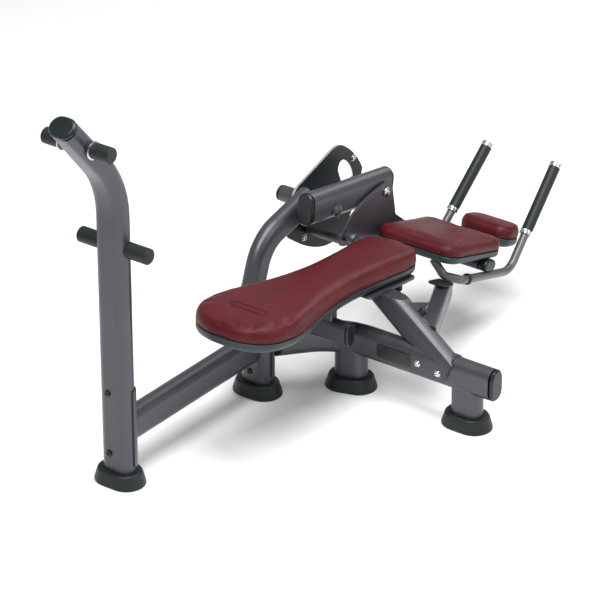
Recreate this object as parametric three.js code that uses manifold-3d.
// Abdominal crunch bench: a floor frame of flat-oval steel tube, a front post with foot pegs,
// a fixed hourglass seat, and a back pad with two hand grips that hangs on a swinging lever.
// Millimetres, +Z up, +X from the front post towards the head end, the user's right is -Y.
import * as THREE from 'three';
import { mergeVertices } from 'three/addons/utils/BufferGeometryUtils.js';
import Module from 'manifold-3d';

const wasm = await Module();
wasm.setup();

// ---- driving dimensions ---------------------------------------------------------------------
const TUBE_LONG = 100;        // flat-oval frame tube, long side
const TUBE_SHORT = 60;        // flat-oval frame tube, short side
const WALL = 3;               // tube wall
const GAP = 0.3;              // air between pieces that touch
const CLEAR = 0.3;            // radial clearance of a pin in its bore
const BEAM_Z = 160;           // height of the floor beams' centre line
const SADDLE = 5;             // thickness of the bent joint saddles
const CAP = 14;               // thickness of the plastic end caps

const ORIGIN_X = 755.2;        // middle of the overall box, from the front post
const ORIGIN_Y = -264.5;      // and across it
const LEG_X = 635;            // middle column, where the two floor frames are bolted together
const CROSS_X = 834;          // rear cross beam
const CROSS_END_Y = -690;     // its free end
const NEAR_LEG_Y = -604;      // leg under that end
const BENCH_Y = -200;         // centre plane of seat, back pad and grips

const POST_BEND_Z = 825;      // where the front post starts to bend forward
const POST_BEND_R = 275;
const POST_LEAN = THREE.MathUtils.degToRad(40);
const POST_ARM = 190;         // straight length after the bend
const POST_TAPER = 0.2;       // how much narrower the arm's end is
const PEG_R = 23;
const PEG_BAR_R = 12;
const PEG_REACH = 120;        // from the post's centre plane to a peg's end

const FOOT_LONG = 160;
const FOOT_WIDE = 112;
const FOOT_H = 42;
const FOOT_SOLE = 8;          // rubber under the column

const PIVOT = new THREE.Vector3(982, 0, 460);     // main lever pivot, axis along Y
const HANGER = new THREE.Vector3(1216, 0, 434);   // back pad carrier's pivot on the lever
const LEVER_FRONT = new THREE.Vector3(876, 0, 497);
const LEVER_REAR = new THREE.Vector3(1266, 0, 432);
const SHAFT_R = 12.5;
const HOUSING_R = 25;

const SEAT_MID_X = 616;       // middle of the seat's length
const SEAT_TOP_Z = 435;       // top of the seat there
const SEAT_TILT = THREE.MathUtils.degToRad(6);
const SEAT_CUSHION = 50;
const SEAT_SHELL = 28;
const BACK = new THREE.Vector3(1283, BENCH_Y, 328);   // top centre of the back pad
const BACK_TILT = THREE.MathUtils.degToRad(16.4);
const BACK_LONG = 298;
const BACK_WIDE = 290;
const BACK_CUSHION = 40;
const BACK_SHELL = 22;
const HEAD_X = 284;           // head pad centre behind the back pad's centre
const HEAD_RAISE = 10;        // its top above the back pad's top
const HEAD_LONG = 110;
const HEAD_WIDE = 186;
const HEAD_CUSHION = 44;
const HANDLE_Y = 140;
const HANDLE_R = 13;
const HANDLE_Z = -112;
const GRIP_R = 18;
const GRIP_LONG = 232;

// ---- looks ----------------------------------------------------------------------------------
const look = (color, roughness, metalness) => ({ color, roughness, metalness });
const PAINT = look(0x4b4c53, 0.42, 0.6);
const CARRIER_GREY = look(0x55565c, 0.45, 0.6);
const BLACK = look(0x1c2426, 0.4, 0.0);
const RUBBER = look(0x1b2526, 0.75, 0.0);
const SHELL = look(0x36444a, 0.5, 0.0);
const LEATHER = look(0x5a121c, 0.45, 0.0);
const CHROME = look(0xd8d8dc, 0.15, 1.0);
const STEEL = look(0x8b8d92, 0.35, 0.9);
const BRONZE = look(0x9a7b4a, 0.4, 0.8);

// ---- small tools ----------------------------------------------------------------------------
const group = new THREE.Group();
const root = new THREE.Group();
group.add(root);
const X = new THREE.Vector3(1, 0, 0);
const Y = new THREE.Vector3(0, 1, 0);
const Z = new THREE.Vector3(0, 0, 1);
const at = (x, y, z) => new THREE.Vector3(x, y, z);
const NEAR = at(0, -1, 0);

function part(name, geometry, finish, parent = root) {
  const mesh = new THREE.Mesh(geometry, new THREE.MeshStandardMaterial(finish));
  mesh.name = name;
  parent.add(mesh);
  return mesh;
}

// A flat-oval outline with its long side along the shape's x.
function oval(long, short) {
  const half = (long - short) / 2;
  const radius = short / 2;
  const shape = new THREE.Shape();
  shape.moveTo(-half, -radius);
  shape.lineTo(half, -radius);
  shape.absarc(half, 0, radius, -Math.PI / 2, Math.PI / 2, false);
  shape.lineTo(-half, radius);
  shape.absarc(-half, 0, radius, Math.PI / 2, Math.PI * 1.5, false);
  return shape;
}

function ovalTube(long, short, wall = WALL) {
  const shape = oval(long, short);
  shape.holes.push(oval(long - 2 * wall, short - 2 * wall));
  return shape;
}

function disc(radius, bore = 0) {
  const shape = new THREE.Shape();
  shape.absarc(0, 0, radius, 0, Math.PI * 2, false);
  if (bore > 0) {
    const hole = new THREE.Path();
    hole.absarc(0, 0, bore, 0, Math.PI * 2, true);
    shape.holes.push(hole);
  }
  return shape;
}

function roundedRect(long, wide, radius) {
  const a = long / 2;
  const b = wide / 2;
  const shape = new THREE.Shape();
  shape.moveTo(-a + radius, -b);
  shape.lineTo(a - radius, -b);
  shape.absarc(a - radius, -b + radius, radius, -Math.PI / 2, 0, false);
  shape.lineTo(a, b - radius);
  shape.absarc(a - radius, b - radius, radius, 0, Math.PI / 2, false);
  shape.lineTo(-a + radius, b);
  shape.absarc(-a + radius, b - radius, radius, Math.PI / 2, Math.PI, false);
  shape.lineTo(-a, -b + radius);
  shape.absarc(-a + radius, -b + radius, radius, Math.PI, Math.PI * 1.5, false);
  return shape;
}

// The same outline as straight steps, anticlockwise, with no last point that repeats the first.
function ring(path, segments = 6) {
  const points = path.getPoints(segments);
  if (points[0].distanceTo(points[points.length - 1]) < 1e-6) points.pop();
  if (THREE.ShapeUtils.isClockWise(points)) points.reverse();
  return new THREE.Shape(points);
}

function prism(shape, length, curveSegments = 4) {
  return new THREE.ExtrudeGeometry(shape, { depth: length, bevelEnabled: false, curveSegments });
}

// A prism whose edges are rounded off, kept inside the outline.
function softPrism(shape, length, edge, curveSegments = 4, bevelSegments = 1) {
  const geometry = new THREE.ExtrudeGeometry(shape, {
    depth: length - 2 * edge,
    bevelEnabled: true,
    bevelThickness: edge,
    bevelSize: edge,
    bevelOffset: -edge,
    bevelSegments,
    curveSegments,
  });
  return geometry.translate(0, 0, edge);
}

// Puts a prism's foot at start, its length along one direction and the shape's x along another.
function lay(mesh, start, along, across) {
  const z = along.clone().normalize();
  const x = across.clone().addScaledVector(z, -across.dot(z)).normalize();
  const y = z.clone().cross(x);
  mesh.quaternion.setFromRotationMatrix(new THREE.Matrix4().makeBasis(x, y, z));
  mesh.position.copy(start);
  return mesh;
}

// A centre line of straight stretches joined by arcs. The sweep gets one ring at each end of a
// stretch and one every few degrees of arc. side is the plane's normal for a flat centre line.
// radii is one bend radius for every corner, or a list with one for each.
class BentLine extends THREE.Curve {
  constructor(corners, radii, side = null, arcStep = 9) {
    super();
    this.side = side;
    this.rings = [];
    const last = corners.length - 1;
    const into = corners.slice(1).map((corner, i) => corner.clone().sub(corners[i]).normalize());
    this.ring(corners[0], into[0]);
    for (let i = 1; i < last; i++) {
      const radius = Array.isArray(radii) ? radii[i - 1] : radii;
      const turn = into[i - 1].angleTo(into[i]);
      const reach = radius * Math.tan(turn / 2);
      const inward = into[i].clone().sub(into[i - 1]).normalize();
      const centre = corners[i].clone().addScaledVector(inward, radius / Math.cos(turn / 2));
      const spoke = corners[i].clone().addScaledVector(into[i - 1], -reach).sub(centre);
      const axis = into[i - 1].clone().cross(into[i]).normalize();
      const steps = Math.max(2, Math.ceil(THREE.MathUtils.radToDeg(turn) / arcStep));
      for (let k = 0; k <= steps; k++) {
        const angle = turn * k / steps;
        const point = spoke.clone().applyAxisAngle(axis, angle).add(centre);
        this.ring(point, into[i - 1].clone().applyAxisAngle(axis, angle));
      }
    }
    this.ring(corners[last], into[last - 1]);
  }

  ring(point, tangent) {
    this.rings.push({ point: point.clone(), tangent: tangent.clone() });
  }

  get steps() {
    return this.rings.length - 1;
  }

  nearest(u) {
    return this.rings[Math.round(u * this.steps)];
  }

  getPoint(u, target = new THREE.Vector3()) {
    return target.copy(this.nearest(u).point);
  }

  getPointAt(u, target = new THREE.Vector3()) {
    return target.copy(this.nearest(u).point);
  }

  getTangentAt(u, target = new THREE.Vector3()) {
    return target.copy(this.nearest(u).tangent);
  }

  computeFrenetFrames(segments, closed) {
    if (!this.side) return super.computeFrenetFrames(segments, closed);
    const tangents = this.rings.map((ring) => ring.tangent);
    const normals = tangents.map(() => this.side.clone());
    const binormals = tangents.map((tangent) => tangent.clone().cross(this.side));
    return { tangents, normals, binormals };
  }
}

function sweep(shape, line, curveSegments = 4) {
  return new THREE.ExtrudeGeometry(shape, { steps: line.steps, extrudePath: line, curveSegments });
}

// ---- boolean cuts, made in the object's frame -----------------------------------------------
function toManifold(mesh) {
  mesh.updateWorldMatrix(true, false);
  const geometry = mesh.geometry.clone();
  geometry.deleteAttribute('normal');
  geometry.deleteAttribute('uv');
  geometry.applyMatrix4(mesh.matrixWorld);
  const merged = mergeVertices(geometry, 1e-3);
  const corners = merged.index.array;
  const faces = [];
  for (let i = 0; i < corners.length; i += 3) {
    const [a, b, c] = corners.slice(i, i + 3);
    if (a !== b && b !== c && c !== a) faces.push(a, b, c);
  }
  return new wasm.Manifold(new wasm.Mesh({
    numProp: 3,
    vertProperties: new Float32Array(merged.attributes.position.array),
    triVerts: new Uint32Array(faces),
  }));
}

function cut(mesh, ...tools) {
  let body = toManifold(mesh);
  for (const tool of tools) body = body.subtract(toManifold(tool));
  const result = body.getMesh();
  const geometry = new THREE.BufferGeometry();
  geometry.setAttribute('position', new THREE.BufferAttribute(result.vertProperties.slice(), 3));
  geometry.setIndex(new THREE.BufferAttribute(result.triVerts.slice(), 1));
  mesh.geometry = geometry.applyMatrix4(mesh.matrixWorld.clone().invert());
  mesh.geometry.computeVertexNormals();
  return mesh;
}

// A loose solid used only to cut with.
function tool(geometry, start = at(0, 0, 0), along = Z, across = X) {
  return lay(new THREE.Mesh(geometry), start, along, across);
}

function drill(radius, x, z, from = -400, to = 400) {
  return tool(prism(disc(radius), to - from, 12), at(x, from, z), Y, X);
}

function block(low, high) {
  const size = high.clone().sub(low);
  const mesh = new THREE.Mesh(new THREE.BoxGeometry(size.x, size.y, size.z));
  mesh.position.copy(low).addScaledVector(size, 0.5);
  return mesh;
}

// ---- feet and columns -----------------------------------------------------------------------
const COLUMN = ovalTube(TUBE_LONG, TUBE_SHORT);
const COLUMN_BOOT = oval(TUBE_LONG + 2 * GAP, TUBE_SHORT + 2 * GAP);

function foot(name, x, y, across) {
  const geometry = softPrism(oval(FOOT_LONG, FOOT_WIDE), FOOT_H, 5, 6, 2);
  const position = geometry.attributes.position;
  const SHRINK = 0.16;      // the boot tapers to its top
  for (let i = 0; i < position.count; i++) {
    const scale = 1 - SHRINK * position.getZ(i) / FOOT_H;
    position.setXY(i, position.getX(i) * scale, position.getY(i) * scale);
  }
  const boot = lay(part(name, geometry, RUBBER), at(x, y, 0), Z, across);
  return cut(boot, tool(prism(COLUMN_BOOT, FOOT_H), at(x, y, FOOT_SOLE), Z, across));
}

function column(name, x, y, top, across) {
  const footZ = FOOT_SOLE + GAP;
  return lay(part(name, prism(COLUMN, top - footZ), PAINT), at(x, y, footZ), Z, across);
}

// ---- front post -----------------------------------------------------------------------------
const LEAN_DIR = at(-Math.sin(POST_LEAN), 0, Math.cos(POST_LEAN));
const POST_CORNER = at(0, 0, POST_BEND_Z + POST_BEND_R * Math.tan(POST_LEAN / 2));
const POST_END = POST_CORNER.clone()
  .addScaledVector(LEAN_DIR, POST_BEND_R * Math.tan(POST_LEAN / 2) + POST_ARM);
const postLine = new BentLine([at(0, 0, FOOT_SOLE + GAP), POST_CORNER, POST_END], POST_BEND_R, Y, 8);
// The arm is drawn narrower towards its end.
function narrowed(geometry) {
  const position = geometry.attributes.position;
  const point = new THREE.Vector3();
  for (let i = 0; i < position.count; i++) {
    point.fromBufferAttribute(position, i);
    const before = POST_END.clone().sub(point).dot(LEAN_DIR);
    const done = THREE.MathUtils.clamp(1 - before / POST_ARM, 0, 1);
    const onArm = point.z > POST_CORNER.z ? done : 0;
    position.setY(i, point.y * (1 - POST_TAPER * onArm));
  }
  return geometry;
}
const post = part('front_post', narrowed(sweep(ovalTube(TUBE_LONG, TUBE_SHORT), postLine)), PAINT);
const postBlank = new THREE.Mesh(narrowed(sweep(oval(TUBE_LONG + 2 * GAP, TUBE_SHORT + 2 * GAP),
  postLine)));
lay(part('front_post_cap', softPrism(oval(TUBE_LONG * (1 - POST_TAPER) + 4, TUBE_SHORT + 4), CAP + 4, 6), BLACK),
  POST_END.clone().addScaledVector(LEAN_DIR, GAP), LEAN_DIR, Y);
foot('front_foot', 0, 0, Y);

// ---- foot pegs: a bar through the post and a rubber sleeve on each end ----------------------
const UPPER_PEG = POST_CORNER.clone().addScaledVector(LEAN_DIR, 205);
const PEGS = [
  { level: 'lower', x: 6, z: 733, reach: PEG_REACH },
  { level: 'upper', x: UPPER_PEG.x, z: UPPER_PEG.z, reach: PEG_REACH - 6 },
];
const BAR_MARGIN = 10;        // the bar ends inside the sleeve's closed end
const PEG_START = 22;         // the sleeve is coped round the post from here outwards
for (const peg of PEGS) {
  const barEnd = peg.reach - BAR_MARGIN;
  cut(post, drill(PEG_BAR_R + GAP, peg.x, peg.z, -200, 200));
  lay(part(`${peg.level}_peg_bar`, prism(disc(PEG_BAR_R), 2 * barEnd, 8), STEEL),
    at(peg.x, -barEnd, peg.z), Y, X);
  for (const [side, sign] of [['near', -1], ['far', 1]]) {
    const out = at(0, sign, 0);
    const sleeve = lay(part(`${peg.level}_peg_${side}`,
      softPrism(disc(PEG_R), peg.reach - PEG_START, 3, 12, 1), RUBBER),
      at(peg.x, sign * PEG_START, peg.z), out, X);
    cut(sleeve, postBlank, tool(prism(disc(PEG_BAR_R + GAP), barEnd + GAP, 8),
      at(peg.x, 0, peg.z), out, X));
  }
}

// ---- main beam and the bolted saddles -------------------------------------------------------
// A saddle is a channel that wraps a column's rear half; lip is how far it wraps round.
function saddle(name, x, low, high) {
  const inner = TUBE_SHORT / 2 + GAP;
  const outer = inner + SADDLE;
  const half = (TUBE_LONG - TUBE_SHORT) / 2;
  const shape = new THREE.Shape();
  shape.moveTo(0, -half - outer);
  shape.absarc(0, -half, outer, -Math.PI / 2, 0, false);
  shape.absarc(0, half, outer, 0, Math.PI / 2, false);
  shape.lineTo(0, half + inner);
  shape.absarc(0, half, inner, Math.PI / 2, 0, true);
  shape.absarc(0, -half, inner, 0, -Math.PI / 2, true);
  return lay(part(name, prism(shape, high - low, 4), PAINT), at(x, 0, low), Z, X);
}
const SADDLE_BACK = TUBE_SHORT / 2 + GAP + SADDLE;
saddle('front_saddle', 0, 60, 298);
const mainBeamStart = SADDLE_BACK + GAP;
const mainBeamEnd = LEG_X - TUBE_SHORT / 2 - GAP;
lay(part('main_beam', prism(COLUMN, mainBeamEnd - mainBeamStart), PAINT),
  at(mainBeamStart, 0, BEAM_Z), X, Z);

const MIDDLE_TOP = 216;
const MIDDLE_LID = 5;
const middleBore = tool(prism(oval(TUBE_LONG - 2 * WALL, TUBE_SHORT - 2 * WALL), MIDDLE_TOP - MIDDLE_LID),
  at(LEG_X, 0, 0), Z, Y);
cut(lay(part('middle_column', prism(oval(TUBE_LONG, TUBE_SHORT), MIDDLE_TOP - FOOT_SOLE - GAP), PAINT),
  at(LEG_X, 0, FOOT_SOLE + GAP), Z, Y), middleBore);
foot('middle_foot', LEG_X, 0, Y);
saddle('middle_saddle', LEG_X, 62, 212);

// ---- rear J-shaped floor frame --------------------------------------------------------------
const J_HEADING = THREE.MathUtils.degToRad(-40);
const J_RADIUS = 230;
const J_START = at(LEG_X + SADDLE_BACK - 40, -24 + 40 * Math.tan(-J_HEADING), BEAM_Z);
const J_CORNER = at(CROSS_X, J_START.y + (CROSS_X - J_START.x) * Math.tan(J_HEADING), BEAM_Z);
const J_END = at(CROSS_X, CROSS_END_Y, BEAM_Z);
const jLine = new BentLine([J_START, J_CORNER, J_END], J_RADIUS, Z, 8);
const jTool = new THREE.Mesh(sweep(oval(TUBE_LONG + 2 * GAP, TUBE_SHORT + 2 * GAP), jLine));
const jTube = part('rear_frame_tube', sweep(oval(TUBE_LONG, TUBE_SHORT), jLine), PAINT);
// A welded plate closes the end that is bolted to the saddle; the other end takes a cap.
const END_PLATE = 5;
const jFace = LEG_X + SADDLE_BACK + GAP;
const jBoreLine = new BentLine([J_START, J_CORNER, J_END.clone().add(at(0, -END_PLATE, 0))],
  J_RADIUS, Z, 8);
const jBore = cut(new THREE.Mesh(sweep(oval(TUBE_LONG - 2 * WALL, TUBE_SHORT - 2 * WALL), jBoreLine)),
  block(at(LEG_X - 120, -200, 0), at(jFace + END_PLATE, 200, 300)));
cut(jTube, block(at(LEG_X - 120, -200, 0), at(jFace, 200, 300)), jBore);
lay(part('rear_frame_cap', softPrism(oval(TUBE_LONG, TUBE_SHORT), CAP, 6), BLACK),
  at(CROSS_X, CROSS_END_Y - GAP, BEAM_Z), at(0, -1, 0), Z);

const J_TURN = Math.PI / 2 + J_HEADING;
const J_CENTRE = at(CROSS_X - J_RADIUS, J_CORNER.y - J_RADIUS * Math.tan(J_TURN / 2), BEAM_Z);
const BEND_LEG = THREE.MathUtils.degToRad(17);     // where on the bend its leg stands
const bendLegX = J_CENTRE.x + J_RADIUS * Math.cos(BEND_LEG);
const bendLegY = J_CENTRE.y + J_RADIUS * Math.sin(BEND_LEG);
const bendTangent = at(Math.sin(BEND_LEG), -Math.cos(BEND_LEG), 0);
cut(column('bend_leg', bendLegX, bendLegY, BEAM_Z, bendTangent), jTool);
foot('bend_foot', bendLegX, bendLegY, bendTangent);
cut(column('rear_leg', CROSS_X, NEAR_LEG_Y, BEAM_Z, Y), jTool);
foot('rear_foot', CROSS_X, NEAR_LEG_Y, Y);

// ---- outrigger tube and the curved lever support on the far side ----------------------------
const OUTRIGGER = at(700, 0, 248);
const OUTRIGGER_NEAR = -278;
const ARM_Y = 75;             // centre plane of the curved support
const ARM_LONG = 85;
const ARM_SHORT = 52;
lay(part('outrigger_tube', prism(ovalTube(75, 40), ARM_Y - ARM_SHORT / 2 - GAP - OUTRIGGER_NEAR), PAINT),
  at(OUTRIGGER.x, OUTRIGGER_NEAR, OUTRIGGER.z), Y, Z);
lay(part('outrigger_cap', softPrism(oval(75, 40), 10, 4), BLACK),
  at(OUTRIGGER.x, OUTRIGGER_NEAR - GAP, OUTRIGGER.z), at(0, -1, 0), Z);
const ARM_FOOT = at(684, ARM_Y, 204);
const ARM_CORNER = at(760, ARM_Y, 414);
const ARM_HEAD = at(PIVOT.x, ARM_Y, PIVOT.z + 8);
const armLine = new BentLine([ARM_FOOT, ARM_CORNER, ARM_HEAD], 125, Y.clone().negate(), 9);
function tallOval(long, short) {
  const half = (long - short) / 2;
  const radius = short / 2;
  const shape = new THREE.Shape();
  shape.moveTo(radius, -half);
  shape.lineTo(radius, half);
  shape.absarc(0, half, radius, 0, Math.PI, false);
  shape.lineTo(-radius, -half);
  shape.absarc(0, -half, radius, Math.PI, Math.PI * 2, false);
  return shape;
}
const armShape = tallOval(ARM_LONG, ARM_SHORT);
armShape.holes.push(tallOval(ARM_LONG - 2 * WALL, ARM_SHORT - 2 * WALL));
const arm = part('lever_support', sweep(armShape, armLine), PAINT);
lay(part('lever_support_cap', softPrism(oval(ARM_LONG, ARM_SHORT), 8, 3), BLACK),
  ARM_FOOT.clone().addScaledVector(ARM_CORNER.clone().sub(ARM_FOOT).normalize(), -GAP),
  ARM_FOOT.clone().sub(ARM_CORNER), X);

// ---- pivot housing, bushes and shaft --------------------------------------------------------
const HOUSING_NEAR = 36;
const HOUSING_FAR = 165;
const BUSH_R = 17;
const BUSH_LONG = 30;
lay(part('pivot_housing', prism(disc(HOUSING_R, BUSH_R + GAP), HOUSING_FAR - HOUSING_NEAR, 12), PAINT),
  at(PIVOT.x, HOUSING_NEAR, PIVOT.z), Y, X);
cut(arm, drill(HOUSING_R + GAP, PIVOT.x, PIVOT.z, 0, 200));
cut(arm, block(at(PIVOT.x, 0, 380), at(PIVOT.x + 100, 200, 560)));
for (const [side, y] of [['near', HOUSING_NEAR], ['far', HOUSING_FAR - BUSH_LONG]]) {
  lay(part(`pivot_bush_${side}`, prism(disc(BUSH_R, SHAFT_R + CLEAR), BUSH_LONG, 12), BRONZE),
    at(PIVOT.x, y, PIVOT.z), Y, X);
}

// ---- fixed limit plate beside the lever -----------------------------------------------------
const PLATE_Y = 103;
const PLATE_THICK = 8;
function limitOutline() {
  const shape = new THREE.Shape();
  shape.moveTo(978, 503);
  shape.lineTo(1140, 556);
  shape.quadraticCurveTo(1176, 568, 1208, 546);
  shape.quadraticCurveTo(1272, 500, 1300, 440);
  shape.quadraticCurveTo(1270, 300, 1171, 250);
  shape.quadraticCurveTo(1090, 238, 985, 308);
  shape.lineTo(924, 352);
  shape.quadraticCurveTo(908, 366, 922, 392);
  shape.lineTo(955, 486);
  shape.quadraticCurveTo(962, 498, 978, 503);
  return shape;
}
const slot = new THREE.Path();
slot.moveTo(1174, 478);
slot.quadraticCurveTo(1178, 512, 1206, 502);
slot.quadraticCurveTo(1244, 474, 1250, 432);
slot.quadraticCurveTo(1240, 398, 1206, 404);
slot.quadraticCurveTo(1196, 420, 1174, 478);
const limitShape = ring(limitOutline());
limitShape.holes.push(ring(slot));
const limitPlate = lay(part('limit_plate', prism(limitShape, PLATE_THICK, 6), BLACK),
  at(0, PLATE_Y + PLATE_THICK, 0), at(0, -1, 0), X);
limitPlate.rotation.set(Math.PI / 2, 0, 0);
cut(limitPlate, drill(HOUSING_R + GAP, PIVOT.x, PIVOT.z, 90, 130));
// A pin with a head at its foot end, turned about z.
function headedPin(radius, length, headRadius, headHeight) {
  const profile = [
    new THREE.Vector2(0, 0),
    new THREE.Vector2(headRadius, 0),
    new THREE.Vector2(headRadius, headHeight),
    new THREE.Vector2(radius, headHeight),
    new THREE.Vector2(radius, headHeight + length),
    new THREE.Vector2(0, headHeight + length),
  ];
  return new THREE.LatheGeometry(profile, 24).rotateX(Math.PI / 2);
}
lay(part('stop_rod', softPrism(disc(13), PLATE_Y - GAP + 26, 2, 8, 1), PAINT),
  at(1018, -26, 345), Y, X);

// ---- strut from the cross beam up to the seat -----------------------------------------------
// The strut's foot is a channel that straddles the beam.
const STRUT_A = at(CROSS_X, -504, 186);
const STRUT_B = at(870, -288, 313);
const STRUT_DIR = STRUT_B.clone().sub(STRUT_A).normalize();
const STRUT_UP = Z.clone().addScaledVector(STRUT_DIR, -STRUT_DIR.z).normalize();
const CLAMP_LOW = 132;
const CLAMP_WALL = 4;
const CLAMP_Y = [-566, -428];
const clampInner = TUBE_SHORT / 2 + GAP;
const clampOuter = clampInner + CLAMP_WALL;
const clampTop = BEAM_Z + (TUBE_LONG - TUBE_SHORT) / 2;
const clampShape = new THREE.Shape();
clampShape.moveTo(-clampOuter, CLAMP_LOW);
clampShape.lineTo(-clampInner, CLAMP_LOW + 12);
clampShape.lineTo(-clampInner, clampTop);
clampShape.absarc(0, clampTop, clampInner, Math.PI, 0, true);
clampShape.lineTo(clampInner, CLAMP_LOW + 12);
clampShape.lineTo(clampOuter, CLAMP_LOW);
clampShape.lineTo(clampOuter, clampTop);
clampShape.absarc(0, clampTop, clampOuter, 0, Math.PI, false);
const clamp = part('strut_clamp', prism(clampShape, CLAMP_Y[1] - CLAMP_Y[0]), PAINT);
clamp.rotation.set(Math.PI / 2, 0, 0);
clamp.position.set(CROSS_X, CLAMP_Y[1], 0);
// Its free end slopes back towards the bottom.
const clampTrim = new THREE.Shape();
clampTrim.moveTo(CLAMP_Y[0] - 5, CLAMP_LOW - 5);
clampTrim.lineTo(CLAMP_Y[0] + 34, CLAMP_LOW - 5);
clampTrim.quadraticCurveTo(CLAMP_Y[0] + 4, CLAMP_LOW + 6, CLAMP_Y[0], clampTop + 45);
clampTrim.lineTo(CLAMP_Y[0] - 5, clampTop + 45);
cut(clamp, tool(prism(clampTrim, 120), at(CROSS_X - 60, 0, 0), X, Y));
const strutStart = STRUT_A.clone().addScaledVector(STRUT_DIR, -58);
const STRUT_BLANK = 420;
const strut = lay(part('seat_strut', prism(oval(TUBE_LONG, TUBE_SHORT), STRUT_BLANK), PAINT),
  strutStart, STRUT_DIR, STRUT_UP);
const clampBlank = tool(prism(oval(TUBE_LONG + 2 * (clampOuter - TUBE_SHORT / 2 + GAP),
  2 * (clampOuter + GAP)), 700), at(CROSS_X, -800, BEAM_Z), Y, Z);
const SEAT_BOTTOM = SEAT_CUSHION + SEAT_SHELL + 2 * GAP;
const SEAT_PLATE = 8;
const seatUp = at(Math.sin(SEAT_TILT), 0, Math.cos(SEAT_TILT));
const seatForward = at(Math.cos(SEAT_TILT), 0, -Math.sin(SEAT_TILT));
const seatPoint = (x, y, z) => at(SEAT_MID_X, BENCH_Y, SEAT_TOP_Z)
  .addScaledVector(seatForward, x).addScaledVector(Y, y).addScaledVector(seatUp, z);
// Everything above a plane parallel to the seat, for cutting what meets it from below.
function aboveSeatPlane(depth) {
  const height = 400;
  return tool(new THREE.BoxGeometry(900, 700, height),
    seatPoint(200, 0, -depth + height / 2), seatUp, seatForward);
}
const strutTop = SEAT_BOTTOM + SEAT_PLATE + GAP;
const clampSides = block(at(CROSS_X - clampOuter - GAP, -800, 100),
  at(CROSS_X + clampOuter + GAP, -100, clampTop));
// The tube is open at its foot; a welded end plate closes its head.
const strutBore = cut(tool(prism(oval(TUBE_LONG - 2 * WALL, TUBE_SHORT - 2 * WALL), STRUT_BLANK),
  strutStart, STRUT_DIR, STRUT_UP), aboveSeatPlane(strutTop + END_PLATE));
cut(strut, strutBore, clampBlank, clampSides, aboveSeatPlane(strutTop));

// ---- seat -----------------------------------------------------------------------------------
const seat = new THREE.Group();
seat.position.set(SEAT_MID_X, BENCH_Y, SEAT_TOP_Z);
seat.rotation.y = SEAT_TILT;
root.add(seat);
// Half widths of the hourglass seat along its length, from the front lobe to the head end.
const SEAT_PROFILE = [
  [-410, 0], [-404, 62], [-378, 112], [-328, 144], [-252, 152], [-165, 136], [-40, 107],
  [100, 90], [240, 92], [350, 97], [414, 90], [442, 58], [452, 0],
];
function seatShape(inset) {
  const shrink = 1 - inset / SEAT_PROFILE[SEAT_PROFILE.length - 1][0];
  const side = SEAT_PROFILE.map(([x, half]) => new THREE.Vector3(x * shrink, Math.max(0, half - inset), 0));
  const other = side.slice(1, -1).reverse().map((point) => new THREE.Vector3(point.x, -point.y, 0));
  const loop = new THREE.CatmullRomCurve3([...side, ...other], true, 'centripetal');
  const points = loop.getPoints(56).slice(0, -1);
  return new THREE.Shape(points.map((point) => new THREE.Vector2(point.x, point.y)));
}
part('seat_cushion', softPrism(seatShape(0), SEAT_CUSHION, 10, 3, 2), LEATHER, seat)
  .position.z = -SEAT_CUSHION;
part('seat_shell', softPrism(seatShape(3), SEAT_SHELL, 6, 3, 1), SHELL, seat)
  .position.z = -SEAT_CUSHION - GAP - SEAT_SHELL;
const seatPlate = part('seat_plate', prism(roundedRect(230, 186, 14), SEAT_PLATE, 4), PAINT, seat);
seatPlate.position.set(290, -6, -SEAT_BOTTOM - SEAT_PLATE);
const RAIL_H = 30;
const seatRail = part('seat_rail', prism(roundedRect(RAIL_H, 60, 5), 420, 3), PAINT, seat);
lay(seatRail, at(-246, 0, -SEAT_BOTTOM - RAIL_H / 2), X, Z);
const outriggerTop = OUTRIGGER.z + 75 / 2 + GAP;
const stand = lay(part('seat_stand', prism(roundedRect(60, 30, 6), 80, 3), PAINT),
  at(OUTRIGGER.x, BENCH_Y, outriggerTop - 25), Z, Y);
const outriggerBlank = tool(prism(oval(75 + 2 * GAP, 40 + 2 * GAP), 600),
  at(OUTRIGGER.x, -400, OUTRIGGER.z), Y, Z);
cut(stand, outriggerBlank, aboveSeatPlane(SEAT_BOTTOM + RAIL_H + GAP));
lay(part('seat_buffer', softPrism(disc(13), 22, 4, 8, 1), RUBBER, seat),
  at(334, -84, -SEAT_BOTTOM - SEAT_PLATE - GAP), at(0, 0, -1), X);

// ---- lever ----------------------------------------------------------------------------------
const lever = new THREE.Group();
group.add(lever);
const leverDir = LEVER_REAR.clone().sub(LEVER_FRONT).normalize();
const leverTube = lay(part('lever_tube', prism(ovalTube(TUBE_LONG, TUBE_SHORT),
  LEVER_REAR.distanceTo(LEVER_FRONT)), PAINT, lever), LEVER_FRONT, leverDir, Z);
cut(leverTube, drill(SHAFT_R + GAP, PIVOT.x, PIVOT.z), drill(SHAFT_R + GAP, HANGER.x, HANGER.z));
lay(part('lever_front_cap', softPrism(oval(TUBE_LONG, TUBE_SHORT), 12, 5), BLACK, lever),
  LEVER_FRONT.clone().addScaledVector(leverDir, -GAP), leverDir.clone().negate(), Z);
lay(part('lever_rear_cap', softPrism(oval(TUBE_LONG, TUBE_SHORT), 12, 5), BLACK, lever),
  LEVER_REAR.clone().addScaledVector(leverDir, GAP), leverDir, Z);
const LEVER_SIDE = TUBE_SHORT / 2;
const HEAD_H = 6;
lay(part('pivot_shaft', headedPin(SHAFT_R, HOUSING_FAR + 2 + LEVER_SIDE, 17, HEAD_H), STEEL, lever),
  at(PIVOT.x, -LEVER_SIDE - GAP - HEAD_H, PIVOT.z), Y, X);
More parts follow.
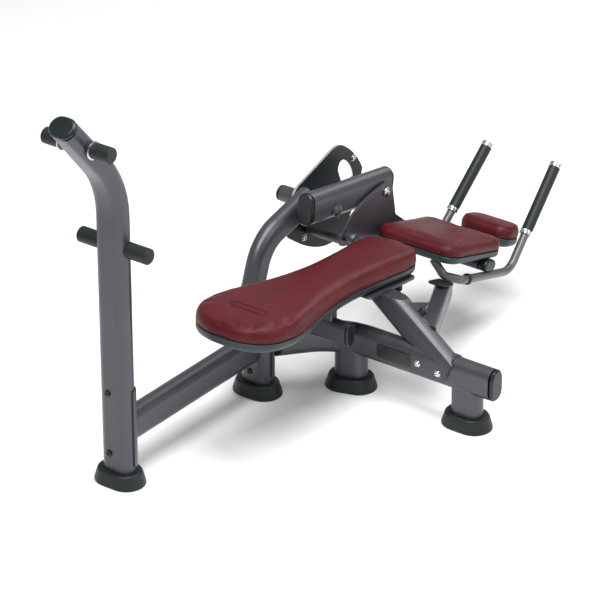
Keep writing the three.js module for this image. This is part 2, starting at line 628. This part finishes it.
lay(part('pivot_cap', softPrism(disc(24), 8, 2, 10, 1), BLACK, lever),
  at(PIVOT.x, HOUSING_FAR + 2 + GAP, PIVOT.z), Y, X);

// ---- carrier of the back pad ----------------------------------------------------------------
const CARRIER_Y = -44;         // near face of the carrier plate
const CARRIER_THICK = 8;
const carrier = new THREE.Group();
group.add(carrier);
const carrierShape = new THREE.Shape();
carrierShape.moveTo(1212, 462);
carrierShape.quadraticCurveTo(1040, 452, 984, 368);
carrierShape.quadraticCurveTo(978, 338, 1012, 336);
carrierShape.lineTo(1290, 200);
carrierShape.lineTo(1356, 194);
carrierShape.lineTo(1372, 252);
carrierShape.lineTo(1268, 340);
carrierShape.lineTo(1250, 440);
carrierShape.quadraticCurveTo(1240, 464, 1212, 462);
const carrierPlate = part('carrier_plate', prism(ring(carrierShape, 7), CARRIER_THICK), CARRIER_GREY,
  carrier);
carrierPlate.rotation.set(Math.PI / 2, 0, 0);
carrierPlate.position.set(0, CARRIER_Y + CARRIER_THICK, 0);
cut(carrierPlate, drill(SHAFT_R + CLEAR, HANGER.x, HANGER.z));
lay(part('hanger_spacer', prism(disc(20, SHAFT_R + GAP), 5.2, 12), PAINT, lever),
  at(HANGER.x, -LEVER_SIDE - GAP, HANGER.z), NEAR, X);
lay(part('hanger_pin', headedPin(SHAFT_R, LEVER_SIDE - CARRIER_Y, 15, HEAD_H), CHROME, lever),
  at(HANGER.x, CARRIER_Y - GAP - HEAD_H, HANGER.z), Y, X);

const back = new THREE.Group();
back.position.copy(BACK);
back.rotation.y = BACK_TILT;
carrier.add(back);
const BACK_BOTTOM = BACK_CUSHION + BACK_SHELL + GAP;
part('back_cushion', softPrism(roundedRect(BACK_LONG, BACK_WIDE, 46), BACK_CUSHION, 9, 4, 2), LEATHER,
  back).position.z = -BACK_CUSHION;
part('back_shell', softPrism(roundedRect(BACK_LONG - 8, BACK_WIDE - 8, 44), BACK_SHELL, 7, 4, 1), SHELL,
  back).position.z = -BACK_BOTTOM;
const headCushion = part('head_cushion', softPrism(roundedRect(HEAD_LONG, HEAD_WIDE, 44), HEAD_CUSHION,
  10, 4, 2), LEATHER, back);
headCushion.position.set(HEAD_X, 0, HEAD_RAISE - HEAD_CUSHION);
const headShell = part('head_shell', softPrism(roundedRect(HEAD_LONG - 8, HEAD_WIDE - 8, 41),
  BACK_BOTTOM + HEAD_RAISE - HEAD_CUSHION - GAP, 6, 4, 1), SHELL, back);
headShell.position.set(HEAD_X, 0, -BACK_BOTTOM);

const CROSS_LONG = 62;
const CROSS_SHORT = 36;
const CROSS_CENTRE = at(72, 0, -BACK_BOTTOM - GAP - CROSS_SHORT / 2);
const CROSS_FAR = CARRIER_Y - GAP - BENCH_Y;
const CROSS_NEAR = -120;
const CROSS_CAP = 30;
lay(part('cross_member', prism(ovalTube(CROSS_LONG, CROSS_SHORT), CROSS_FAR - CROSS_NEAR), PAINT, back),
  at(CROSS_CENTRE.x, CROSS_NEAR, CROSS_CENTRE.z), Y, X);
lay(part('cross_member_cap', softPrism(oval(CROSS_LONG, CROSS_SHORT), CROSS_CAP, 7, 4, 2), BLACK,
  back),
  at(CROSS_CENTRE.x, CROSS_NEAR - GAP, CROSS_CENTRE.z), NEAR, X);
const barStart = CROSS_CENTRE.x + CROSS_LONG / 2 + GAP;
lay(part('head_pad_bar', prism(roundedRect(50, 8, 2), 305 - barStart, 2), PAINT, back),
  at(barStart, 0, -BACK_BOTTOM - GAP - 4), X, Y);

// ---- handles --------------------------------------------------------------------------------
const GRIP_RISE = THREE.MathUtils.degToRad(59);
const GRIP_TOE_IN = 0.043;
for (const [side, sign] of [['near', -1], ['far', 1]]) {
  const bottomZ = CROSS_CENTRE.z - CROSS_SHORT / 2 - GAP - HANDLE_R;
  const gripDir = at(Math.cos(GRIP_RISE), -sign * GRIP_TOE_IN, Math.sin(GRIP_RISE)).normalize();
  const bend = at(203, sign * HANDLE_Y, bottomZ);
  const collar = bend.clone().addScaledVector(gripDir, 124);
  const handleEnd = collar.clone().addScaledVector(gripDir, GRIP_LONG - 20);
  const line = new BentLine([
    at(-120, sign * 62, -BACK_BOTTOM - GAP),
    at(-104, sign * 100, bottomZ + 6),
    at(-66, sign * HANDLE_Y, bottomZ),
    bend,
    handleEnd,
  ], [24, 24, 62], null, 15);
  const tube = part(`handle_tube_${side}`, sweep(disc(HANDLE_R, HANDLE_R - 2.5), line, 6), STEEL, back);
  cut(tube, lay(attached(new THREE.BoxGeometry(200, 400, 60), back),
    at(-100, 0, -BACK_BOTTOM - GAP + 30), Z, X));
  lay(part(`grip_collar_${side}`, prism(disc(GRIP_R + 1, HANDLE_R + GAP), 14, 9), CHROME, back),
    collar, gripDir, Y);
  const grip = lay(part(`grip_${side}`, softPrism(disc(GRIP_R), GRIP_LONG, 2, 9, 1), RUBBER, back),
    collar.clone().addScaledVector(gripDir, 14 + GAP), gripDir, Y);
  cut(grip, lay(attached(prism(disc(HANDLE_R + GAP), GRIP_LONG, 8), back),
    collar.clone().addScaledVector(gripDir, -20), gripDir, Y));
}

function attached(geometry, parent) {
  const mesh = new THREE.Mesh(geometry);
  mesh.updateWorldMatrix = function update() {
    parent.updateWorldMatrix(true, false);
    this.updateMatrix();
    this.matrixWorld.multiplyMatrices(parent.matrixWorld, this.matrix);
  };
  return mesh;
}

// ---- rest arm that the back pad comes down on -----------------------------------------------
const REST_PAD = 8;
const restPad = lay(part('rest_pad', softPrism(roundedRect(66, 56, 10), REST_PAD, 2, 3, 1), RUBBER),
  at(0, 0, 0), Z, X);
back.updateWorldMatrix(true, false);
const restPlace = back.localToWorld(at(-100, -92, HANDLE_Z - HANDLE_R - 2 - REST_PAD));
const backUp = at(Math.sin(BACK_TILT), 0, Math.cos(BACK_TILT));
const backAlong = at(Math.cos(BACK_TILT), 0, -Math.sin(BACK_TILT));
lay(restPad, restPlace, backUp, backAlong);
const REST_LONG = 58;
const REST_SHORT = 50;
const restEnd = restPlace.clone().add(at(10, 0, -REST_LONG / 2 - 4));
const restStart = at(842, -456, 244);
const restDir = restEnd.clone().sub(restStart).normalize();
const restArm = lay(part('rest_arm', prism(roundedTube(REST_LONG, REST_SHORT, 12),
  restEnd.distanceTo(restStart) + 40, 3), PAINT), restStart, restDir, Z);
const strutBlank = tool(prism(oval(TUBE_LONG + 2 * GAP, TUBE_SHORT + 2 * GAP), 520),
  strutStart, STRUT_DIR, STRUT_UP);
const overPad = lay(new THREE.Mesh(new THREE.BoxGeometry(400, 400, 200)),
  restPlace.clone().addScaledVector(backUp, 100 - GAP), backUp, backAlong);
cut(restArm, strutBlank, overPad);

function roundedTube(long, short, radius) {
  const shape = roundedRect(long, short, radius);
  shape.holes.push(roundedRect(long - 2 * WALL, short - 2 * WALL, radius - WALL));
  return shape;
}

// The origin is on the floor under the middle of the overall box.
group.position.set(-ORIGIN_X, -ORIGIN_Y, 0);
export default group;
